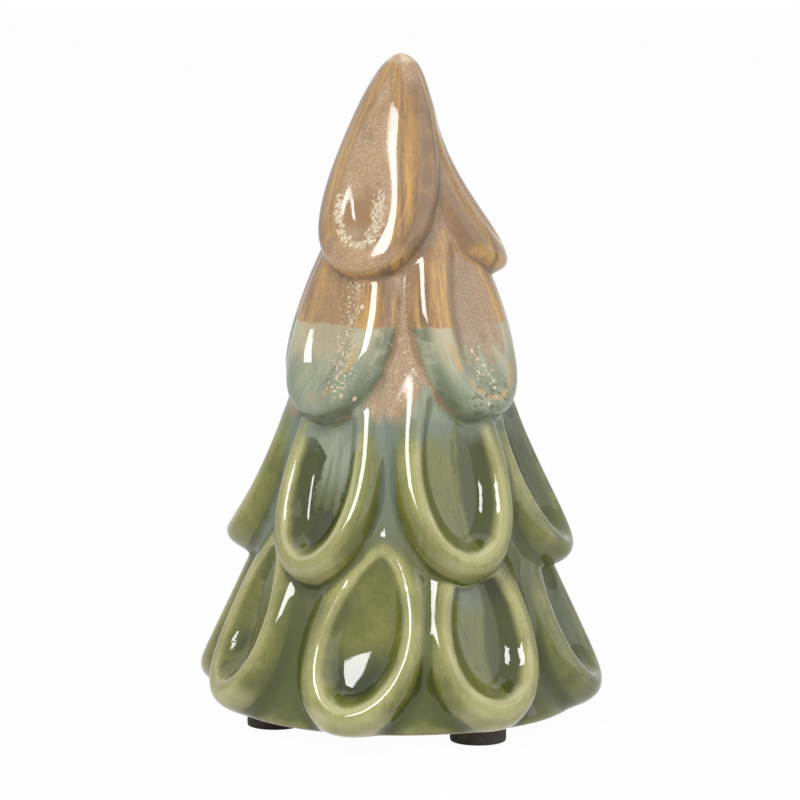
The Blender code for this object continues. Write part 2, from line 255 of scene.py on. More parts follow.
class StudioSettings(bpy.types.PropertyGroup):
    """Camera, lights and floor."""
    distance: FloatProperty(name="Camera distance", default=1.0, unit="LENGTH",
                            description="From the camera to the point it looks at")
    elevation: FloatProperty(name="Camera elevation", default=math.radians(7.8), subtype="ANGLE",
                             description="Angle of the camera above the table")
    aim_height: FloatProperty(name="Aim height", default=70.08 * MM, unit="LENGTH",
                              description="Height of the point that the camera looks at")
    frame_width: FloatProperty(name="Frame width", default=172.88 * MM, unit="LENGTH",
                               description="Width of the picture at that distance")
    floor_colour: colour("Floor", (0.90, 0.90, 0.90), "Pale floor")
    floor_glow: FloatProperty(name="Floor glow", default=0.97, min=0.0, max=1.0,
                              description="How nearly white the floor is to the camera")
    surround: FloatProperty(name="Surround", default=0.23, min=0.0,
                            description="Strength of the even light from all round")
    key_power: FloatProperty(name="Key power", default=8.4, subtype="POWER",
                             description="Softbox at the front left")
    fill_power: FloatProperty(name="Fill power", default=2.0, subtype="POWER",
                              description="White card at the right")
    top_power: FloatProperty(name="Top power", default=1.0, subtype="POWER",
                             description="Soft light overhead")


def soft_max(a, b, blend):
    """The larger of two values, with the corner between them rounded."""
    share = np.clip(blend - np.abs(a - b), 0.0, None) / blend
    return np.maximum(a, b) + share * share * blend / 4.0


def soft_min(a, b, blend):
    return -soft_max(-a, -b, blend)


def cone_radius(height):
    """Radius of the plain cone under the petals."""
    lower = FOOT_RADIUS + (SHOULDER_RADIUS - FOOT_RADIUS) * height / SHOULDER_HEIGHT
    upper = SHOULDER_RADIUS + ((TIP_CORE_RADIUS - SHOULDER_RADIUS)
                               * (height - SHOULDER_HEIGHT) / (TIP_HEIGHT - SHOULDER_HEIGHT))
    return soft_min(lower, upper, CONE_BLEND)


def tuck_height(ring):
    """Height of the pointed tops of a tier's petals."""
    above = TIERS.index(ring) + 1
    covered_at = TIERS[above].lip if above < len(TIERS) else TIP_HEIGHT
    return covered_at + ring.tuck


def crest_half_width(along, half_width, widest):
    """Half width of the drop that a rim's crest draws, from its point, 0, to its lip, 1."""
    power = 0.5 * widest / (1.0 - widest)
    peak = widest ** power * math.sqrt(1.0 - widest)
    along = np.clip(along, 0.0, 1.0)
    return half_width * along ** power * np.sqrt(1.0 - along) / peak


def nearest_on_crest(across, height, top, lip, half_width, widest):
    """Distance from each point to the crest's outline, and how far along the petal that lies."""
    along = 0.5 - 0.5 * np.cos(np.linspace(0.0, math.pi, CREST_STEPS))
    crest_across = crest_half_width(along, half_width, widest)
    crest_height = top - along * (top - lip)
    distance = np.empty(across.shape)
    nearest = np.empty(across.shape)
    for start in range(0, len(across), POINTS_AT_ONCE):
        part = slice(start, start + POINTS_AT_ONCE)
        gaps = np.hypot(across[part, None] - crest_across, height[part, None] - crest_height)
        index = gaps.argmin(axis=1)
        distance[part] = gaps[np.arange(len(index)), index]
        nearest[part] = along[index]
    return distance, nearest


def petal_form(azimuth, height, ring, petal):
    """One petal over the whole body: how far it stands out, its bowl's depth, and its own chart.

    The chart holds the distance from the rim's crest, negative in the bowl, then the share of the
    way from the petal's point to its lip, then how far toward the deep side of a skewed bowl.
    """
    lip = ring.lip + petal.lip
    top = tuck_height(ring)
    half_width = ring.half_width + petal.half_width
    middle = petal.azimuth + petal.lean * np.clip((height - lip) / (top - lip), 0.0, 1.0)
    turn = (azimuth - np.radians(middle) + math.pi) % (2.0 * math.pi) - math.pi
    side = turn * (cone_radius(height) + OUTLINE_LIFT)
    beside = np.abs(side) < half_width + ROLL_REACH * ring.cheek
    level_with = (height > lip - ROLL_REACH * ring.drop) & (height < top + ROLL_REACH * ring.cheek)
    close = beside & level_with
    fields = [np.full(height.shape, value) for value in (FAR_BELOW, 0.0, FAR_OFF, 0.0, 0.0)]
    found = near_petal(side[close], height[close], ring, petal, half_width, lip, top)
    for field, values in zip(fields, found):
        field[close] = values
    return fields


def near_petal(side, height, ring, petal, half_width, lip, top):
    """What petal_form returns, at points on the petal or close to it."""
    across = np.abs(side)
    along = np.clip((top - height) / (top - lip), 0.0, 1.0)
    crest = crest_half_width(along, half_width, ring.widest)
    inside = (across < crest) & (height < top) & (height > lip)
    gap, nearest = nearest_on_crest(across, height, top, lip, half_width, ring.widest)
    distance = np.where(inside, 0.0, gap)
    nearest = np.where(inside, along, nearest)
    level = top - nearest * (top - lip)
    top_radius = cone_radius(top)
    reach = ring.reach + petal.reach
    rim_radius = top_radius + (reach - top_radius) * nearest ** (ring.flare + petal.flare)
    rise = np.maximum(rim_radius - cone_radius(level), 0.0)

    downward = np.clip((level - height) / np.maximum(distance, 1e-6), 0.0, 1.0)
    cheek = ring.cheek * (ROLL_AT_POINT + (1.0 - ROLL_AT_POINT) * nearest)
    roll = cheek * (1.0 - downward) + ring.drop * downward
    dome = rise - (rise + PETAL_SINK) * (distance / roll) ** ROLL_POWER

    depth = np.clip(crest * crest - across * across, 0.0, None) / half_width ** 2
    deepest = ring.bowl * np.maximum(ring.point_depth + (BOWL_AT_LIP - ring.point_depth) * along, 0.0)
    deepest = deepest * (1.0 + petal.skew * side / half_width)
    wall = np.clip(gap / ring.shoulder, 0.0, 1.0)
    wall = wall ** 3 * (10.0 - 15.0 * wall + 6.0 * wall ** 2)
    scoop = deepest * wall * (WALL_SHARE + (1.0 - WALL_SHARE) * depth)
    deep_side = 4.0 * petal.skew * side / half_width
    return dome, np.where(inside, scoop, 0.0), np.where(inside, -gap, gap), nearest, deep_side


def body_form(azimuth, height):
    """Radius of the glazed outside, and the chart of the petal that shows at each point."""
    cone = cone_radius(height)
    radius = cone.copy()
    chart = {key: np.zeros(height.shape) for key in ("rim", "along", "deep_side", "tier", "petal")}
    chart["rim"] += FAR_OFF
    for level, ring in enumerate(TIERS):
        dome = np.full(height.shape, FAR_BELOW)
        scoop = np.zeros(height.shape)
        own = {key: np.zeros(height.shape) for key in chart}
        for number, petal in enumerate(ring.petals):
            form, bowl, rim, along, deep_side = petal_form(azimuth, height, ring, petal)
            petal_chart = {"rim": rim, "along": along, "deep_side": deep_side, "petal": number + 1.0}
            for key, values in petal_chart.items():
                own[key] = np.where(form > dome, values, own[key])
            dome = soft_max(dome, form, PETAL_BLEND)
            scoop = np.maximum(scoop, bowl)
        own["tier"] = np.full(height.shape, level + 1.0)
        shows = cone + dome > radius - SHOWS_WITHIN
        for key in chart:
            chart[key] = np.where(shows, own[key], chart[key])
        radius = soft_max(radius, cone + dome, TIER_BLEND) - scoop
    from_tip = np.clip(TIP_HEIGHT - height, 0.0, None)
    tip = np.sqrt(2.0 * TIP_ROUNDING * from_tip + (TIP_SPREAD * from_tip) ** 2)
    radius = soft_min(radius, tip, TIP_BLEND)
    chart["proud"] = radius - cone
    below = 1.0 - np.clip(height / FOOT_EDGE_ROUNDING, 0.0, 1.0)
    radius = radius - FOOT_EDGE_ROUNDING * (1.0 - np.sqrt(1.0 - below ** 2))
    return np.maximum(radius, 0.0), chart


def row_heights(rows):
    """Heights of the rows of points, even down the outline and closer over the round tip."""
    height = np.linspace(TIP_HEIGHT, 0.0, 500)
    azimuth = np.linspace(0.0, 2.0 * math.pi, 72, endpoint=False)
    azimuths, heights = np.meshgrid(azimuth, height)
    radii = body_form(azimuths.ravel(), heights.ravel())[0].reshape(heights.shape)
    step = np.hypot(np.diff(radii.max(axis=1)), np.diff(height))
    step *= 1.0 + 2.0 * np.exp((height[1:] - TIP_HEIGHT) / (2.0 * TIP_ROUNDING))
    walked = np.concatenate(([0.0], np.cumsum(step)))
    return np.interp(np.linspace(0.0, walked[-1], rows + 1), walked, height)


def smoothed(grid, times):
    """A grid of values over azimuth and height, evened out with its neighbours."""
    for _ in range(times):
        sideways = 0.5 * grid + 0.25 * (np.roll(grid, 1, axis=1) + np.roll(grid, -1, axis=1))
        padded = np.vstack((sideways[:1], sideways, sideways[-1:]))
        grid = 0.5 * sideways + 0.25 * (padded[:-2] + padded[2:])
    return grid


def outline_below(sizes):
    """The turned outline, in metres, from under the foot up through the drain hole and the hollow."""
    hole = sizes.drain_radius
    edge = HOLE_EDGE * MM
    floor = sizes.foot_thickness
    points = [(FOOT_RIM_SHARE * FOOT_RADIUS * MM, 0.0), (hole + edge, 0.0),
              (hole + 0.3 * edge, 0.3 * edge), (hole, edge), (hole, floor - edge), (hole + edge, floor)]
    hollow_top = (TIP_HEIGHT - HOLLOW_BELOW_TIP) * MM
    shoulder = hollow_top - HOLLOW_TAPER * MM
    for height in np.linspace(floor, shoulder, HOLLOW_STEPS):
        points.append((float(cone_radius(height / MM)) * MM - sizes.wall, float(height)))
    points.append((0.0, hollow_top))
    return points


def turned_blank(outline, columns):
    """A mesh turned from an outline of (radius, height) points."""
    profile = bpy.data.meshes.new("profile")
    profile.from_pydata([(radius, 0.0, height) for radius, height in outline],
                        [(i, i + 1) for i in range(len(outline) - 1)], [])
    holder = bpy.data.objects.new("profile", profile)
    bpy.context.scene.collection.objects.link(holder)
    turn = holder.modifiers.new("turned", "SCREW")
    turn.axis = "Z"
    turn.angle = 2.0 * math.pi
    turn.steps = columns
    turn.render_steps = columns
    turn.use_merge_vertices = True
    turn.merge_threshold = 0.002 * MM
    bpy.context.view_layer.update()
    turned = holder.evaluated_get(bpy.context.evaluated_depsgraph_get())
    mesh = bpy.data.meshes.new_from_object(turned)
    bpy.data.objects.remove(holder)
    bpy.data.meshes.remove(profile)
    return mesh


def point_places(mesh):
    """Places of a mesh's points, one row each."""
    spots = np.empty(len(mesh.vertices) * 3)
    mesh.vertices.foreach_get("co", spots)
    return spots.reshape(-1, 3)


def keep_on_points(mesh, name, values):
    """Store a value on each point of a mesh."""
    layer = mesh.attributes.new(name, "FLOAT", "POINT")
    layer.data.foreach_set("value", values.astype(np.float32))


def press_petals(mesh, heights, columns, inset):
    """Move the blank's skin out to the petals, and keep the chart of the glaze on its points."""
    spots = point_places(mesh)
    level = np.clip(spots[:, 2] / MM, 0.0, TIP_HEIGHT)
    reach = np.hypot(spots[:, 0], spots[:, 1])
    skin = np.abs(reach - cone_radius(level) * MM) < SKIN_TOLERANCE * MM
    angle = np.arctan2(spots[:, 1], spots[:, 0])

    grid_azimuth = math.pi / 2.0 + np.arange(columns) * 2.0 * math.pi / columns
    azimuths, levels = np.meshgrid(grid_azimuth, heights[1:])
    radius, chart = body_form(azimuths.ravel(), levels.ravel())
    cell = 2.0 * math.pi * FOOT_RADIUS / columns
    steps = round(2.0 * (CREST_SOFTNESS / cell) ** 2)
    radius = smoothed(radius.reshape(azimuths.shape), steps)
    fields = {key: values.reshape(azimuths.shape) for key, values in chart.items()}
    fields["fine_pool"] = smoothed(radius, FINE_STEPS) - radius
    fields["broad_pool"] = smoothed(radius, BROAD_STEPS) - radius
    fields["proud"] = smoothed(fields["proud"], PROUD_STEPS)
    fields["rim"] = smoothed(fields["rim"], RIM_STEPS)

    row = np.abs(level[skin][:, None] - heights[1:]).argmin(axis=1)
    column = np.rint(angle[skin] / (2.0 * math.pi) * columns).astype(int) % columns
    new_radius = radius[row, column] * MM - inset
    spots[skin, 0] = new_radius * np.cos(angle[skin])
    spots[skin, 1] = new_radius * np.sin(angle[skin])
    mesh.vertices.foreach_set("co", spots.ravel())
    for key, grid in fields.items():
        values = np.full(len(spots), -FAR_OFF if key == "proud" else 0.0)
        values[skin] = grid[row, column]
        keep_on_points(mesh, key, values)
    keep_on_points(mesh, "glazed", np.where(skin & (level > GLAZE_STARTS), 1.0, 0.0))
    mesh.update()


def mark_bare_clay(mesh):
    """Give the second material to the faces that no glaze reaches."""
    glazed = np.empty(len(mesh.vertices), dtype=np.float32)
    mesh.attributes["glazed"].data.foreach_get("value", glazed)
    corners = np.empty(len(mesh.loops), dtype=np.int32)
    mesh.loops.foreach_get("vertex_index", corners)
    starts = np.empty(len(mesh.polygons), dtype=np.int32)
    mesh.polygons.foreach_get("loop_start", starts)
    least = np.minimum.reduceat(glazed[corners], starts)
    mesh.polygons.foreach_set("material_index", (least < 0.5).astype(np.int32))


class Shading:
    """Short calls for building a material's nodes."""

    def __init__(self, name):
        self.material = bpy.data.materials.new(name)
        self.material.use_nodes = True
        self.tree = self.material.node_tree
        self.shader = self.tree.nodes["Principled BSDF"]

    def feed(self, socket, value):
        """Link a socket to another, or set it to a number, a vector or a colour."""
        if isinstance(value, bpy.types.NodeSocket):
            self.tree.links.new(value, socket)
        elif hasattr(value, "__len__"):
            missing = len(socket.default_value) - len(value)
            socket.default_value = (*value, *(1.0,) * missing)
        else:
            socket.default_value = value

    def node(self, kind, inputs=(), **settings):
        made = self.tree.nodes.new(kind)
        for key, value in settings.items():
            setattr(made, key, value)
        for key, value in dict(inputs).items():
            self.feed(made.inputs[key], value)
        return made

    def math(self, operation, a, b=0.0, c=0.0):
        return self.node("ShaderNodeMath", {0: a, 1: b, 2: c}, operation=operation).outputs[0]

    def span(self, value, low, high, to_low=0.0, to_high=1.0):
        """Value eased from low..high to to_low..to_high, held at the ends."""
        made = self.node("ShaderNodeMapRange", {"Value": value, "From Min": low, "From Max": high,
                                                "To Min": to_low, "To Max": to_high},
                         interpolation_type="SMOOTHSTEP")
        return made.outputs["Result"]

    def mix(self, share, a, b):
        made = self.node("ShaderNodeMix", data_type="RGBA")
        self.feed(made.inputs[0], share)
        self.feed(made.inputs[6], a)
        self.feed(made.inputs[7], b)
        return made.outputs[2]

    def over(self, base, tint, mask, most):
        """A tint laid over a base where a mask is high, up to a given share."""
        return self.mix(self.math("MULTIPLY", mask, most), base, tint)

    def vector(self, operation, a, b=(0.0, 0.0, 0.0)):
        return self.node("ShaderNodeVectorMath", {0: a, 1: b}, operation=operation).outputs[0]

    def noise(self, vector, scale, detail=2.0, roughness=0.5, distortion=0.0):
        made = self.node("ShaderNodeTexNoise", {"Vector": vector, "Scale": scale, "Detail": detail,
                                                "Roughness": roughness, "Distortion": distortion})
        return made.outputs["Fac"]

    def cells(self, vector, scale):
        return self.node("ShaderNodeTexVoronoi", {"Vector": vector, "Scale": scale}).outputs["Distance"]

    def finished(self, tint, rough, relief=None, strength=0.0, distance=0.0):
        """Set the surface's colour, roughness and relief, and give its material."""
        self.feed(self.shader.inputs["Base Color"], tint)
        self.feed(self.shader.inputs["Roughness"], rough)
        if relief is not None:
            bump = self.node("ShaderNodeBump", {"Height": relief, "Strength": strength, "Distance": distance})
            self.feed(self.shader.inputs["Normal"], bump.outputs[0])
        return self.material

    def place(self):
        """Where a point lies, in metres over the table and round the middle."""
        return self.node("ShaderNodeTexCoord").outputs["Object"]

    def chart(self, name):
        made = self.node("ShaderNodeAttribute", attribute_name=name, attribute_type="GEOMETRY")
        return made.outputs["Fac"]

    def combine(self, x, y, z):
        return self.node("ShaderNodeCombineXYZ", {0: x, 1: y, 2: z}).outputs[0]


def studio_world(surround):
    """Soft even light all round, and a white backdrop where the camera or a reflection sees it."""
    world = bpy.data.worlds.new("studio_world")
    bpy.context.scene.world = world
    world.use_nodes = True
    nodes = world.node_tree.nodes
    links = world.node_tree.links
    nodes.clear()
    output = nodes.new("ShaderNodeOutputWorld")
    soft = nodes.new("ShaderNodeBackground")
    white = nodes.new("ShaderNodeBackground")
    for background, strength in ((soft, surround), (white, 1.0)):
        background.inputs["Color"].default_value = (1.0, 1.0, 1.0, 1.0)
        background.inputs["Strength"].default_value = strength
    path = nodes.new("ShaderNodeLightPath")
    seen = nodes.new("ShaderNodeMath")
    through = nodes.new("ShaderNodeMath")
    seen.operation = through.operation = "MAXIMUM"
    mix = nodes.new("ShaderNodeMixShader")
    for source, socket in ((path.outputs["Is Camera Ray"], seen.inputs[0]),
                           (path.outputs["Is Glossy Ray"], seen.inputs[1]),
                           (seen.outputs[0], through.inputs[0]),
                           (path.outputs["Is Transmission Ray"], through.inputs[1]),
                           (through.outputs[0], mix.inputs[0]), (soft.outputs[0], mix.inputs[1]),
                           (white.outputs[0], mix.inputs[2]), (mix.outputs[0], output.inputs[0])):
        links.new(source, socket)


def floor_material(floor_colour, glow_share):
    """Pale floor that reads almost white to the camera and keeps the tree's shadow."""
    shading = Shading("pale_floor")
    diffuse = shading.node("ShaderNodeBsdfDiffuse", {"Color": floor_colour})
    glow = shading.node("ShaderNodeEmission", {"Color": (1.0, 1.0, 1.0), "Strength": 1.0})
    path = shading.node("ShaderNodeLightPath")
    seen = shading.math("MAXIMUM", path.outputs["Is Camera Ray"], path.outputs["Is Glossy Ray"])
    seen = shading.math("MAXIMUM", seen, path.outputs["Is Transmission Ray"])
    share = shading.math("MULTIPLY", seen, glow_share)
    mix = shading.node("ShaderNodeMixShader")
    surface = shading.tree.nodes["Material Output"].inputs["Surface"]
    for source, socket in ((share, mix.inputs[0]), (diffuse.outputs[0], mix.inputs[1]),
                           (glow.outputs[0], mix.inputs[2]), (mix.outputs[0], surface)):
        shading.tree.links.new(source, socket)
    return shading.material


def softbox(name, place, aim, size, power):
    """A rectangular area light that faces a point."""
    light = bpy.data.lights.new(name, "AREA")
    light.shape = "RECTANGLE"
    light.size, light.size_y = size
    light.energy = power
    holder = bpy.data.objects.new(name, light)
    bpy.context.scene.collection.objects.link(holder)
    holder.location = place
    direction = np.array(aim, float) - np.array(place, float)
    pan = math.atan2(-direction[0], direction[1])
    tilt = math.atan2(math.hypot(direction[0], direction[1]), -direction[2])
    holder.rotation_euler = (tilt, 0.0, pan)


def charted(s):
    """Where a point lies on the body: its place, height, azimuth in degrees and petal chart."""
    place = s.place()
    xyz = s.node("ShaderNodeSeparateXYZ", {0: place}).outputs
    c = {name: s.chart(name) for name in CHART_NAMES}
    c["place"] = place
    c["height"] = xyz["Z"]
    behind = s.math("MULTIPLY", xyz["Y"], -1.0)
    c["turn"] = s.math("MULTIPLY", s.math("ARCTAN2", xyz["X"], behind), 180.0 / math.pi)
    around = s.vector("NORMALIZE", s.combine(xyz["X"], xyz["Y"], 0.0))
    around = s.node("ShaderNodeVectorMath", {0: around, "Scale": 0.03}, operation="SCALE").outputs[0]
    c["down"] = s.vector("ADD", around, s.combine(0.0, 0.0, s.math("MULTIPLY", c["height"], 0.14)))
    key = s.math("ADD", s.math("MULTIPLY", c["tier"], 7.3), s.math("MULTIPLY", c["petal"], 1.7))
    c["lines"] = s.combine(s.math("MULTIPLY", c["rim"], 0.75), s.math("MULTIPLY", c["along"], 2.6), key)
    return c


def patterns(s, c):
    """The noises that every glaze shares: runs, rim lines, mottling, pebbles and slow drifts."""
    place = c["place"]
    return {
        "runs": s.noise(c["down"], 260.0, detail=5.0, roughness=0.62),
        "hairs": s.noise(c["down"], 1100.0, detail=3.0, roughness=0.6),
        "lines": s.noise(c["lines"], 1.0, detail=5.0, roughness=0.62, distortion=0.5),
        "mottle": s.noise(place, 190.0, detail=5.0, roughness=0.6),
        "cloud": s.noise(place, 110.0, detail=3.0, roughness=0.5),
        "pebble": s.noise(place, 2400.0, detail=2.0, roughness=0.55),
        "grain": s.noise(place, 900.0, detail=4.0, roughness=0.6),
        "drift": s.noise(place, 55.0, detail=2.0),
    }


def off_middle(s, pattern, amount):
    """A noise pattern as a swing of plus or minus about half the amount."""
    return s.math("MULTIPLY", s.math("SUBTRACT", pattern, 0.5), amount)


def swung(s, value, pattern, amount):
    """A value shifted to and fro by a noise pattern."""
    return s.math("ADD", value, off_middle(s, pattern, amount))


def near(s, value, middle, width):
    """High where a value lies close to the middle, falling to nothing a width away."""
    return s.span(s.math("ABSOLUTE", s.math("SUBTRACT", value, middle)), width, 0.2 * width)


def both(s, *masks):
    """All of the masks at once."""
    shared = masks[0]
    for mask in masks[1:]:
        shared = s.math("MULTIPLY", shared, mask)
    return shared


def one_of(s, c, tier, petal=None):
    """The points of one tier, or of one petal of it."""
    chosen = s.math("COMPARE", c["tier"], float(tier), 0.1)
    return chosen if petal is None else both(s, chosen, s.math("COMPARE", c["petal"], float(petal), 0.1))


def shaded_creases(s, c, low, high):
    """Painted shade in the narrow creases outside the rims, partly also where the glaze really gathers."""
    return both(s, s.span(c["rim"], 1.0, 3.0), s.span(c["fine_pool"], low, high))


def green_glaze(s, colours, n, c):
    """Olive glaze: straw rims with a pale line where it breaks thin, near black where it pools, with painted
    shade in its creases, gaps between petals, bowl bottoms and outer rolls.

    Beside its colour it gives the mask of the bowls' insides.
    """
    roll = swung(s, c["rim"], n["lines"], 3.4)
    green = s.mix(s.span(roll, 0.0, 3.8), colours.straw, colours.olive)
    green = s.mix(s.span(n["runs"], 0.48, 0.66, 0.0, 0.45), green, colours.straw)
    # Painted shade: the outer rolls darken to moss towards the valleys, broken up by mottling.
    outer_roll_shade = both(s, s.span(roll, 2.7, 7.0), s.span(n["mottle"], 0.32, 0.60, 0.55, 1.0))
    green = s.over(green, colours.moss, outer_roll_shade, 0.72)
    away = s.span(s.math("ABSOLUTE", roll), 0.6, 3.4, 0.5, 1.0)
    fine = s.math("MAXIMUM", s.span(n["hairs"], 0.52, 0.66, 0.0, 0.34),
                  s.span(n["grain"], 0.50, 0.66, 0.0, 0.28))
    green = s.over(green, colours.moss, fine, away)
    green = s.over(green, colours.moss, s.span(n["cloud"], 0.42, 0.62, 0.0, 0.52), away)
    lip = both(s, s.span(c["along"], 0.88, 0.98), s.span(c["rim"], 0.4, 2.2), s.span(c["rim"], 7.5, 4.6),
               s.span(n["cloud"], 0.36, 0.60, 0.5, 1.0), s.span(c["height"], 0.045, 0.025, 0.35, 1.0))
    green = s.over(green, colours.lemon, lip, 0.85)
    crest = near(s, swung(s, c["rim"], n["mottle"], 1.5), -0.4, 0.9)
    green = s.mix(both(s, crest, s.span(n["lines"], 0.42, 0.62, 0.0, 0.65)), green, colours.lemon)
    inner = s.span(swung(s, c["rim"], n["mottle"], 0.8), -0.8, -1.9)
    bowl = s.mix(s.span(n["cloud"], 0.40, 0.66, 0.0, 0.7), colours.olive, colours.moss)
    bowl = s.mix(s.span(n["grain"], 0.45, 0.7, 0.0, 0.3), bowl, colours.moss)
    # Bowl bottoms go near black: partly the glaze's real pooling, partly painted shade at the bowl's steep
    # lower end.
    bottom = both(s, s.span(swung(s, c["along"], n["mottle"], 0.20), 0.52, 0.82),
                  s.span(c["rim"], -1.5, -3.2))
    bowl = s.over(bowl, colours.night, bottom, 0.9)
    gathers = s.math("SUBTRACT", 0.95, s.math("MULTIPLY", one_of(s, c, 1, 2), 0.75))
    deep = s.math("MULTIPLY", s.span(swung(s, c["deep_side"], n["cloud"], 0.2), 0.10, 0.28), gathers)
    bowl = s.mix(deep, bowl, s.mix(0.5, colours.moss, colours.night))
    green = s.mix(inner, green, bowl)
    foot = s.span(swung(s, c["height"], n["mottle"], 0.003), *FOOT_BREAK, 0.0, 0.6)
    green = s.mix(foot, green, colours.straw)
    # Gaps between petals go dark: partly the glaze's real pooling, partly painted shade.
    gap = both(s, s.span(c["rim"], 1.5, 4.0), s.span(c["broad_pool"], 0.15, 0.80),
               s.span(c["height"], *SHADED_PETAL_GAPS))
    green = s.over(green, s.mix(0.35, colours.moss, colours.night), gap, 0.65)
    return s.over(green, colours.night, shaded_creases(s, c, 0.02, 0.20), 0.35), inner


def bowl_films(s, colours, n, c, green, inner):
    """Grey-olive film on the shallow side of the turned bowls, and one sage run with a dark edge."""
    left = one_of(s, c, 2, 2)
    edge = swung(s, swung(s, c["deep_side"], n["drift"], 0.7), n["runs"], 0.15)
    wide = both(s, inner, s.math("SUBTRACT", 1.0, left),
                s.span(s.math("ABSOLUTE", c["deep_side"]), 0.0, 0.01))
    film = both(s, wide, s.span(edge, 0.19, 0.15), s.span(n["mottle"], 0.30, 0.50, 0.75, 0.95))
    tint = s.mix(s.span(swung(s, c["along"], n["cloud"], 0.3), 0.30, 0.46), colours.mist,
                 colours.veil)
    ripple = swung(s, s.math("MULTIPLY", c["deep_side"], 3.0), n["cloud"], 5.0)
    ripple = near(s, s.math("FRACT", s.math("ADD", ripple, 8.0)), 0.5, 0.07)
    tint = s.mix(s.span(n["cloud"], 0.44, 0.62, 0.0, 0.7), tint, colours.olive)
    green = s.mix(film, green, s.over(tint, colours.moss, ripple, 0.5))
    green = s.mix(both(s, wide, near(s, edge, 0.17, 0.07), s.span(n["mottle"], 0.4, 0.5)), green,
                  colours.moss)
    tongue = s.math("MULTIPLY", s.math("SUBTRACT", swung(s, c["along"], n["runs"], 0.30), 0.76), 4.0)
    beside = s.math("SUBTRACT", s.math("ABSOLUTE", s.math("ADD", c["deep_side"], 0.08)),
                    s.span(c["along"], 0.36, 0.50, 0.80, 0.42))
    tongue = swung(s, s.math("MAXIMUM", tongue, beside), n["mottle"], 0.7)
    run = both(s, s.span(tongue, 0.05, -0.05), s.span(c["rim"], 0.2, -1.4), left)
    pale = s.mix(s.span(n["runs"], 0.40, 0.66), colours.sage, colours.mist)
    pale = s.mix(s.span(swung(s, c["along"], n["runs"], 0.3), 0.46, 0.80), pale, colours.moss)
    green = s.mix(run, green, pale)
    speckled = both(s, near(s, tongue, 0.06, 0.15), inner, left,
                    s.span(s.cells(c["place"], 1300.0), 0.55, 0.35))
    return s.over(green, colours.night, speckled, 0.85)


def celadon(s, colours, n, c):
    """Celadon under the dip line: ivory at its top, sage and blue green below, painted shade on its outer
    rolls, dark flecks low down.
    """
    level = swung(s, swung(s, c["height"], n["mottle"], 0.010), n["lines"], 0.012)
    sage = s.mix(s.span(level, *SAGE_TO_IVORY), colours.sage, colours.ivory)
    deep = both(s, s.span(n["runs"], 0.44, 0.62), s.span(level, *STREAKS_BEGIN, 0.08, 0.75))
    sage = s.mix(deep, sage, colours.teal)
    # Painted shade: teal and moss darken the celadon's outer rolls and lip undersides.
    sage = s.mix(both(s, s.span(c["rim"], 1.5, 4.5), s.span(n["mottle"], 0.32, 0.56)), sage,
                 s.mix(0.3, colours.teal, colours.moss))
    golden = both(s, near(s, swung(s, c["rim"], n["lines"], 2.0), -0.4, 1.3),
                  s.span(n["cloud"], 0.46, 0.60))
    sage = s.over(sage, colours.gold, golden, 0.55)
    patch = both(s, s.span(c["height"], 0.0785, 0.0745), s.span(n["cloud"], 0.50, 0.58))
    fleck = both(s, patch, s.span(n["grain"], 0.52, 0.58))
    return s.over(sage, colours.moss, fleck, 0.7)


def brown_glaze(s, colours, n, c):
    """Caramel glaze that breaks gold along the rims, with umber in its streaks and umber painted shade on the
    crown's cheeks and in its creases, there partly the glaze's real pooling.
    """
    streaky = s.math("ADD", s.math("MULTIPLY", n["lines"], 0.35), s.math("MULTIPLY", n["runs"], 0.65))
    brown = s.mix(s.span(n["grain"], 0.42, 0.66, 0.0, 0.5), colours.caramel, colours.gold)
    golden = s.span(s.math("ADD", streaky, s.math("MULTIPLY", c["fine_pool"], -0.45)), 0.48, 0.60)
    brown = s.over(brown, colours.gold, golden, 0.9)
    brown = s.mix(s.span(streaky, 0.48, 0.38, 0.0, 0.75), brown, colours.umber)
    brown = s.mix(s.span(n["hairs"], 0.52, 0.64, 0.0, 0.45), brown, colours.umber)
    # Painted shade: the crown's cheeks outside the rims darken towards umber.
    cheek = both(s, s.span(swung(s, c["rim"], n["runs"], 2.4), 0.9, 3.8),
                 s.span(c["height"], *CROWN_CHEEK_SHADE),
                 s.span(swung(s, c["along"], n["mottle"], 0.1), 0.97, 0.89))
    shaded = s.mix(s.span(n["mottle"], 0.4, 0.7, 0.1, 0.7), colours.umber, colours.caramel)
    brown = s.over(brown, shaded, cheek, 0.9)
    return s.over(brown, colours.umber, shaded_creases(s, c, 0.02, 0.20), 0.7)


def pebbled_film(s, colours, n, c, bowl, valley):
    """Mauve film that runs down bowls and valleys past the dip line: its share, and its colour."""
    thinner = s.math("SUBTRACT", 1.0, s.math("MULTIPLY", one_of(s, c, 3, 1), 0.7))
    bowl = s.math("MULTIPLY", bowl, thinner)
    low_bowl = s.span(swung(s, c["height"], n["runs"], 0.022), *BOWL_FILM)
    low_valley = s.span(swung(s, c["height"], n["runs"], 0.010), *VALLEY_FILM)
    over_lip = both(s, one_of(s, c, 4, 1), s.span(swung(s, c["along"], n["mottle"], 0.08), 0.90, 0.97),
                    s.span(swung(s, c["rim"], n["runs"], 2.0), 5.0, 3.0))
    film = s.math("MAXIMUM", both(s, bowl, low_bowl), both(s, valley, low_valley, 0.95))
    film = s.math("MAXIMUM", film, s.math("MULTIPLY", over_lip, 0.8))
    film = both(s, film, s.span(n["cloud"], 0.30, 0.46, 0.55, 0.95))
    tint = s.mix(s.span(n["pebble"], 0.44, 0.60, 0.0, 0.55), colours.mauve, colours.caramel)
    tint = s.mix(s.span(n["mottle"], 0.52, 0.68, 0.0, 0.40), tint, colours.umber)
    tint = s.mix(s.span(n["pebble"], 0.48, 0.36, 0.0, 0.32), tint, colours.cream)
    return film, s.over(tint, colours.umber, one_of(s, c, 3, 2), 0.3)


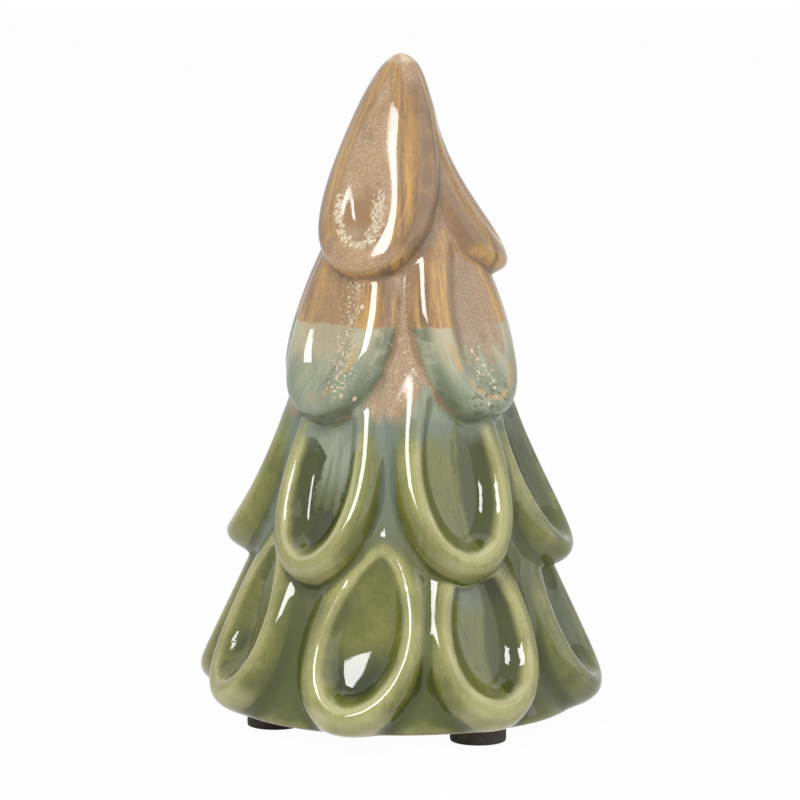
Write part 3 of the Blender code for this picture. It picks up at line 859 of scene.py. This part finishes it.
def crown_pool(s, n, c):
    """The smooth pool at the bottom of the crown's front bowl, and the crawled zone round it."""
    front = one_of(s, c, 4, 1)
    top = s.span(swung(s, c["along"], n["mottle"], 0.22), 0.66, 0.80)
    left = s.math("MULTIPLY", s.math("ADD", c["rim"], POOL_LEFT), POOL_LEFT_SLOPE)
    right = s.math("MULTIPLY", s.math("ADD", c["deep_side"], POOL_RIGHT), POOL_RIGHT_SLOPE)
    edge = swung(s, swung(s, s.math("MINIMUM", left, right), n["mottle"], 2.4), n["grain"], 1.0)
    pool = both(s, s.span(edge, -0.1, 0.25), front, top)
    zone = both(s, near(s, edge, -0.5, 1.3), front,
                s.span(swung(s, c["along"], n["cloud"], 0.1), POOL_TOP, 0.74))
    wide = s.math("MULTIPLY", s.cells(c["place"], 620.0), 1.5)
    lacy = s.math("MINIMUM", s.cells(c["place"], 1000.0), wide)
    crawl = both(s, zone, s.span(swung(s, lacy, n["grain"], 0.5), 0.48, 0.40))
    return pool, crawl


def bead_trail(s, n, c):
    """Small crawled spots: a trail down the upper tier's left bowl, and a scatter elsewhere."""
    path = near(s, swung(s, c["turn"], n["mottle"], 24.0), -31.0, 12.0)
    trail = both(s, path, s.span(c["height"], 0.0725, 0.076), s.span(c["height"], 0.100, 0.097))
    in_bowl = both(s, near(s, c["turn"], BOWL_SPOTS_TURN, 9.0),
                   near(s, c["height"], BOWL_SPOTS_HEIGHT * MM, 0.006))
    in_front = both(s, near(s, c["turn"], 0.0, 9.0), near(s, c["height"], 0.081, 0.013))
    big = both(s, trail, s.span(s.cells(c["place"], 1100.0), 0.36, 0.28))
    small = both(s, s.math("MAXIMUM", in_bowl, in_front), s.span(s.cells(c["place"], 900.0), 0.26, 0.16))
    return s.math("MAXIMUM", big, small)


def glaze_material(colours, sizes):
    """The running reactive glaze: brown at the crown, celadon under its dip line, green below."""
    s = Shading("reactive_glaze")
    c = charted(s)
    n = patterns(s, c)
    bowl = s.span(swung(s, c["rim"], n["runs"], 2.6), -0.8, -2.6)
    valley = both(s, s.span(swung(s, c["proud"], n["mottle"], 2.4), 2.6, 0.9),
                  s.span(c["rim"], 0.8, 2.2))

    green, inner = green_glaze(s, colours, n, c)
    lower = bowl_films(s, colours, n, c, green, inner)
    low = swung(s, swung(s, c["height"], n["drift"], 0.03), n["runs"], 0.02)
    mist = s.mix(s.span(low, *MIST_TO_VEIL), colours.mist, colours.veil)
    in_valley = both(s, valley, s.span(low, *VALLEY_MIST, 0.0, 0.9))
    # Painted shade deepens the creases of the lower tiers with moss, partly the glaze's real pooling.
    low_crease_shade = both(s, shaded_creases(s, c, -0.01, 0.14), s.span(low, *CREASE_SHADE_BELOW))
    lower = s.over(lower, colours.moss, low_crease_shade, 0.6)
    flank = both(s, near(s, swung(s, c["turn"], n["cloud"], 30.0), 82.0, 34.0),
                 s.span(n["mottle"], 0.34, 0.56, 0.60, 0.9))
    shaded = s.mix(0.45, colours.moss, colours.teal)
    lower = s.mix(flank, lower, s.mix(s.span(n["lines"], 0.42, 0.62), colours.moss, shaded))
    over_top = s.span(swung(s, c["height"], n["mottle"], 0.016), *MIST_ON_TOP)
    lower = s.mix(s.math("MAXIMUM", in_valley, over_top), lower, mist)
    upper_share = s.span(swung(s, c["height"], n["mottle"], 0.008), *GREEN_TO_CELADON)
    lower = s.mix(upper_share, lower, celadon(s, colours, n, c))

    edge = swung(s, swung(s, c["height"], n["runs"], 0.0018), n["grain"], 0.0008)
    over_line = s.span(s.math("SUBTRACT", edge, sizes.dip_height), *DIP_LINE_BLUR)
    glaze = s.mix(over_line, lower, brown_glaze(s, colours, n, c))
    film, film_tint = pebbled_film(s, colours, n, c, bowl, valley)
    glaze = s.mix(film, glaze, film_tint)
    trim = both(s, near(s, film, 0.45, 0.30), s.span(c["height"], 0.072, 0.078))
    glaze = s.over(glaze, colours.umber, trim, 0.25)
    pool, crawl = crown_pool(s, n, c)
    pool_tint = s.mix(s.span(n["cloud"], 0.35, 0.62), colours.caramel, colours.mauve)
    glaze = s.mix(pool, glaze, s.mix(0.25, pool_tint, colours.umber))
    beads = s.math("MAXIMUM", crawl, bead_trail(s, n, c))
    glaze = s.over(glaze, colours.cream, beads, 0.95)
    tip_spot = both(s, s.span(c["height"], *TIP_SPOT), s.span(n["mottle"], 0.40, 0.52, 0.2, 1.0))
    glaze = s.over(glaze, colours.cream, tip_spot, 0.8)
    pits = both(s, s.span(s.cells(c["place"], 480.0), 0.075, 0.040), s.span(n["drift"], 0.42, 0.55))
    glaze = s.over(glaze, colours.umber, pits, 0.6)

    s.shader.inputs["IOR"].default_value = 1.52
    rough = s.math("ADD", s.span(n["grain"], 0.3, 0.7, 0.03, 0.07), s.math("MULTIPLY", film, 0.12))
    relief = s.math("ADD", s.noise(c["place"], 75.0, detail=1.0), s.math("MULTIPLY", beads, 0.10))
    relief = s.math("SUBTRACT", relief, s.math("MULTIPLY", pits, 0.08))
    relief = s.math("ADD", relief, both(s, film, off_middle(s, n["pebble"], 0.05)))
    return s.finished(glaze, rough, relief, strength=0.35, distance=0.0010)


def bead_material(colours):
    """Pale glaze that drew together into beads."""
    s = Shading("crawled_glaze")
    place = s.place()
    tint = s.mix(s.span(s.noise(place, 700.0, detail=2.0), 0.42, 0.66, 0.0, 0.5), colours.cream,
                 colours.mauve)
    return s.finished(tint, 0.12)


def clay_material(colours):
    """Bare fired clay under the foot and inside: sandy, with dark iron specks."""
    s = Shading("bare_stoneware")
    place = s.place()
    sand = s.noise(place, 1800.0, detail=4.0, roughness=0.65)
    wide = s.noise(place, 120.0, detail=3.0)
    tint = s.mix(s.span(sand, 0.35, 0.7), colours.clay, (0.42, 0.29, 0.18))
    tint = s.mix(s.span(wide, 0.4, 0.7, 0.0, 0.5), tint, (0.62, 0.50, 0.36))
    iron = s.span(s.cells(place, 380.0), 0.14, 0.08)
    tint = s.over(tint, (0.12, 0.07, 0.04), iron, 0.7)
    return s.finished(tint, 0.88, sand, strength=0.5, distance=0.0002)


def felt_material(look):
    """Pressed felt: a dark mat of fibres with a few pale ones."""
    s = Shading("pressed_felt")
    place = s.place()
    pressed = s.vector("MULTIPLY", place, (1.0, 1.0, 2.2))
    fibres = s.noise(pressed, 2600.0, detail=5.0, roughness=0.7, distortion=1.5)
    clumps = s.noise(place, 500.0, detail=3.0)
    tint = s.mix(s.span(fibres, 0.56, 0.72), look.felt, look.fibre)
    tint = s.mix(s.span(clumps, 0.4, 0.7, 0.0, 0.5), tint, (0.015, 0.013, 0.012))
    s.shader.inputs["Specular IOR Level"].default_value = 0.2
    s.shader.inputs["Sheen Weight"].default_value = 0.3
    s.shader.inputs["Sheen Roughness"].default_value = 0.5
    return s.finished(tint, 0.95, fibres, strength=0.8, distance=0.0003)


def glue_material(look):
    """Clear adhesive film, slightly clouded."""
    s = Shading("adhesive_film")
    place = s.place()
    cloud = s.noise(place, 400.0, detail=3.0)
    tint = s.mix(s.span(cloud, 0.35, 0.7), look.glue, (0.45, 0.43, 0.36))
    return s.finished(tint, 0.35)


class TREE_OT_glazed_body(bpy.types.Operator):
    """Turn the hollow body, press its petals and glaze it"""
    bl_idname = "christmas_tree.glazed_body"
    bl_label = "Glazed body"

    def execute(self, context):
        scene = context.scene
        sizes = scene.tree_sizes
        columns = sizes.columns
        rows = sizes.rows
        heights = row_heights(rows)
        outline = [(0.0, heights[0] * MM)]
        outline += [(float(cone_radius(height)) * MM, float(height) * MM) for height in heights[1:]]
        mesh = turned_blank(outline + outline_below(sizes), columns)
        press_petals(mesh, heights, columns, sizes.glaze_inset)
        mesh.shade_smooth()
        body = bpy.data.objects.new("glazed_body", mesh)
        scene.collection.objects.link(body)
        fit_inside(mesh, np.array(BODY_LOW), np.array(BODY_HIGH))
        body.data.materials.append(glaze_material(scene.glaze_colours, sizes))
        body.data.materials.append(clay_material(scene.glaze_colours))
        mark_bare_clay(mesh)
        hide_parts(BODY_NODE)
        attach(body, "root")
        return {"FINISHED"}


def fit_inside(mesh, low, high):
    """Set a mesh just inside a box, which it nearly fills already."""
    spots = point_places(mesh)
    least, most = spots.min(axis=0), spots.max(axis=0)
    stretch = (high - low - CLEARANCE * MM) / (most - least)
    spots = (spots - (least + most) / 2.0) * stretch + (low + high) / 2.0
    mesh.vertices.foreach_set("co", spots.ravel())
    mesh.update()


def skin_patches(body):
    """Corners, outward direction and chart of each four-sided face of the body."""
    mesh = body.data
    faces = np.array([face.vertices[:] for face in mesh.polygons if len(face.vertices) == 4])
    spots = point_places(mesh)
    chart = {}
    for name in CHART_NAMES:
        values = np.empty(len(mesh.vertices), dtype=np.float32)
        mesh.attributes[name].data.foreach_get("value", values)
        chart[name] = values[faces].mean(axis=1)
    corners = spots[faces]
    across = np.cross(corners[:, 2] - corners[:, 0], corners[:, 3] - corners[:, 1])
    across /= np.maximum(np.linalg.norm(across, axis=1), 1e-12)[:, None]
    middle = corners.mean(axis=1)
    across *= np.sign((across * middle * (1.0, 1.0, 0.0)).sum(axis=1))[:, None]
    chart["turn"] = np.degrees(np.arctan2(middle[:, 0], -middle[:, 1]))
    chart["height"] = middle[:, 2] / MM
    return corners, across, chart


def crawl_weights(chart):
    """How likely a bead is on each face: round the crown's pool, down the upper tier's left bowl, and
    at the end of the film in its right bowl.
    """
    left = POOL_LEFT_SLOPE * (chart["rim"] + POOL_LEFT)
    right = POOL_RIGHT_SLOPE * (chart["deep_side"] + POOL_RIGHT)
    ring = np.exp(-((np.minimum(left, right) + 0.25) / 0.45) ** 2)
    ring *= (chart["tier"] > 3.9) & (np.abs(chart["petal"] - 1.0) < 0.1)
    ring *= np.clip((chart["along"] - POOL_TOP) / 0.12, 0.0, 1.0) * (chart["along"] < 0.985)
    path = TRAIL_TURN - TRAIL_SWAY * np.sin(chart["height"] / 3.1)
    trail = np.exp(-((chart["turn"] - path) / 3.2) ** 2)
    trail = trail * (chart["height"] > TRAIL_LOW) * (chart["height"] < TRAIL_HIGH)
    sideways = (chart["turn"] - BOWL_SPOTS_TURN) / 6.0
    upward = (chart["height"] - BOWL_SPOTS_HEIGHT) / 3.5
    end = np.exp(-sideways ** 2 - upward ** 2)
    on_upper = np.abs(chart["tier"] - 3.0) < 0.1
    return ring, trail * on_upper, end * on_upper


def pick_beads(corners, weights, number, beads, rng):
    """Faces, places and sizes of some beads that only just touch."""
    chosen = rng.choice(len(weights), size=number, replace=False, p=weights / weights.sum())
    shares = rng.dirichlet((2.0, 2.0, 2.0, 2.0), number)
    places = (corners[chosen] * shares[:, :, None]).sum(axis=1)
    sizes = beads.smallest + (beads.largest - beads.smallest) * rng.random(number) ** 2.2
    order = np.argsort(-sizes)
    kept = []
    for index in order:
        apart = np.linalg.norm(places[kept] - places[index], axis=1)
        if np.all(apart > BEAD_OVERLAP * (sizes[kept] + sizes[index])):
            kept.append(index)
    return chosen[kept], places[kept], sizes[kept]


def bead_template():
    """Corners and faces of a round bead of radius 1."""
    form = bmesh.new()
    bmesh.ops.create_icosphere(form, subdivisions=2, radius=1.0)
    corners = np.array([vertex.co[:] for vertex in form.verts])
    faces = np.array([[vertex.index for vertex in face.verts] for face in form.faces])
    form.free()
    return corners, faces


class TREE_OT_crawled_beads(bpy.types.Operator):
    """Scatter the beads of pale glaze that crawled together on the crown and the upper tier"""
    bl_idname = "christmas_tree.crawled_beads"
    bl_label = "Crawled beads"

    def execute(self, context):
        scene = context.scene
        beads = scene.bead_sizes
        body = bpy.data.objects["glazed_body"]
        rng = np.random.default_rng(beads.seed)
        corners, across, chart = skin_patches(body)
        round_corners, round_faces = bead_template()
        spots, faces = [], []
        numbers = (beads.crown_beads, beads.trail_beads, beads.bowl_beads)
        for weights, number in zip(crawl_weights(chart), numbers):
            for face, place, size in zip(*pick_beads(corners, weights, number, beads, rng)):
                out = across[face]
                side = np.cross(out, (0.0, 0.0, 1.0))
                side /= np.linalg.norm(side)
                down = np.cross(out, side)
                axes = np.array((side, down * rng.uniform(1.0, 1.5), out * beads.flatness)) * size
                faces.extend(round_faces + len(spots) * len(round_corners))
                spots.append(place + round_corners @ axes)
        mesh = bpy.data.meshes.new("crawled_glaze_beads")
        mesh.from_pydata(np.concatenate(spots).tolist(), [], np.array(faces).tolist())
        mesh.shade_smooth()
        mesh.materials.append(bead_material(scene.glaze_colours))
        piece = bpy.data.objects.new("crawled_glaze_beads", mesh)
        scene.collection.objects.link(piece)
        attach(piece, "root")
        return {"FINISHED"}


class TREE_OT_felt_pads(bpy.types.Operator):
    """Give the felt pads and their glue their finish"""
    bl_idname = "christmas_tree.felt_pads"
    bl_label = "Felt pads"

    def execute(self, context):
        look = context.scene.pad_look
        felt = felt_material(look)
        glue = glue_material(look)
        for names, finish in ((PAD_NODES, felt), (GLUE_NODES, glue)):
            for name in names:
                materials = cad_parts[name].data.materials
                materials.clear()
                materials.append(finish)
        return {"FINISHED"}


class TREE_OT_studio(bpy.types.Operator):
    """Set the floor, the soft lights and the camera"""
    bl_idname = "christmas_tree.studio"
    bl_label = "Studio"

    def execute(self, context):
        scene = context.scene
        studio = scene.tree_studio
        scene.view_settings.view_transform = "Standard"
        studio_world(studio.surround)
        bpy.ops.mesh.primitive_plane_add(size=FLOOR_SIZE, location=(0.0, 0.0, -FLOOR_DROP))
        floor = context.object
        floor.name = "studio_floor"
        floor.data.materials.append(floor_material(studio.floor_colour, studio.floor_glow))
        aim = (0.0, 0.0, studio.aim_height)
        for name, place, size, power in LIGHTS:
            softbox(name, place, aim, size, getattr(studio, power))
        camera = bpy.data.cameras.new("photo_camera")
        camera.sensor_width = SENSOR_WIDTH
        camera.lens = SENSOR_WIDTH * studio.distance / studio.frame_width
        camera.clip_start = 0.01
        holder = bpy.data.objects.new("photo_camera", camera)
        scene.collection.objects.link(holder)
        level = math.cos(studio.elevation) * studio.distance
        holder.location = (0.0, -level, studio.aim_height + math.sin(studio.elevation) * studio.distance)
        holder.rotation_euler = (math.pi / 2.0 - studio.elevation, 0.0, 0.0)
        scene.camera = holder
        return {"FINISHED"}


class TREE_PT_panel(bpy.types.Panel):
    """Lists the pieces of the tree and its studio."""
    bl_idname = "TREE_PT_panel"
    bl_label = "Christmas Tree"
    bl_space_type = "VIEW_3D"
    bl_region_type = "UI"
    bl_category = "Christmas Tree"

    def draw(self, context):
        for operator in OPERATORS:
            self.layout.operator(operator.bl_idname)
        for group in GROUPS:
            box = self.layout.box()
            for name in GROUPS[group].__annotations__:
                box.prop(getattr(context.scene, group), name)


GROUPS = {"tree_sizes": TreeSizes, "bead_sizes": BeadSizes, "glaze_colours": GlazeColours,
          "pad_look": PadLook, "tree_studio": StudioSettings}
OPERATORS = (TREE_OT_glazed_body, TREE_OT_crawled_beads, TREE_OT_felt_pads, TREE_OT_studio)


def register():
    for group, kind in GROUPS.items():
        bpy.utils.register_class(kind)
        setattr(bpy.types.Scene, group, PointerProperty(type=kind))
    for kind in (*OPERATORS, TREE_PT_panel):
        bpy.utils.register_class(kind)


def unregister():
    for kind in reversed((*OPERATORS, TREE_PT_panel)):
        bpy.utils.unregister_class(kind)
    for group, kind in GROUPS.items():
        delattr(bpy.types.Scene, group)
        bpy.utils.unregister_class(kind)


def main():
    register()
    bpy.ops.christmas_tree.glazed_body()
    bpy.ops.christmas_tree.crawled_beads()
    bpy.ops.christmas_tree.felt_pads()
    bpy.ops.christmas_tree.studio()


if __name__ == "__main__":
    main()
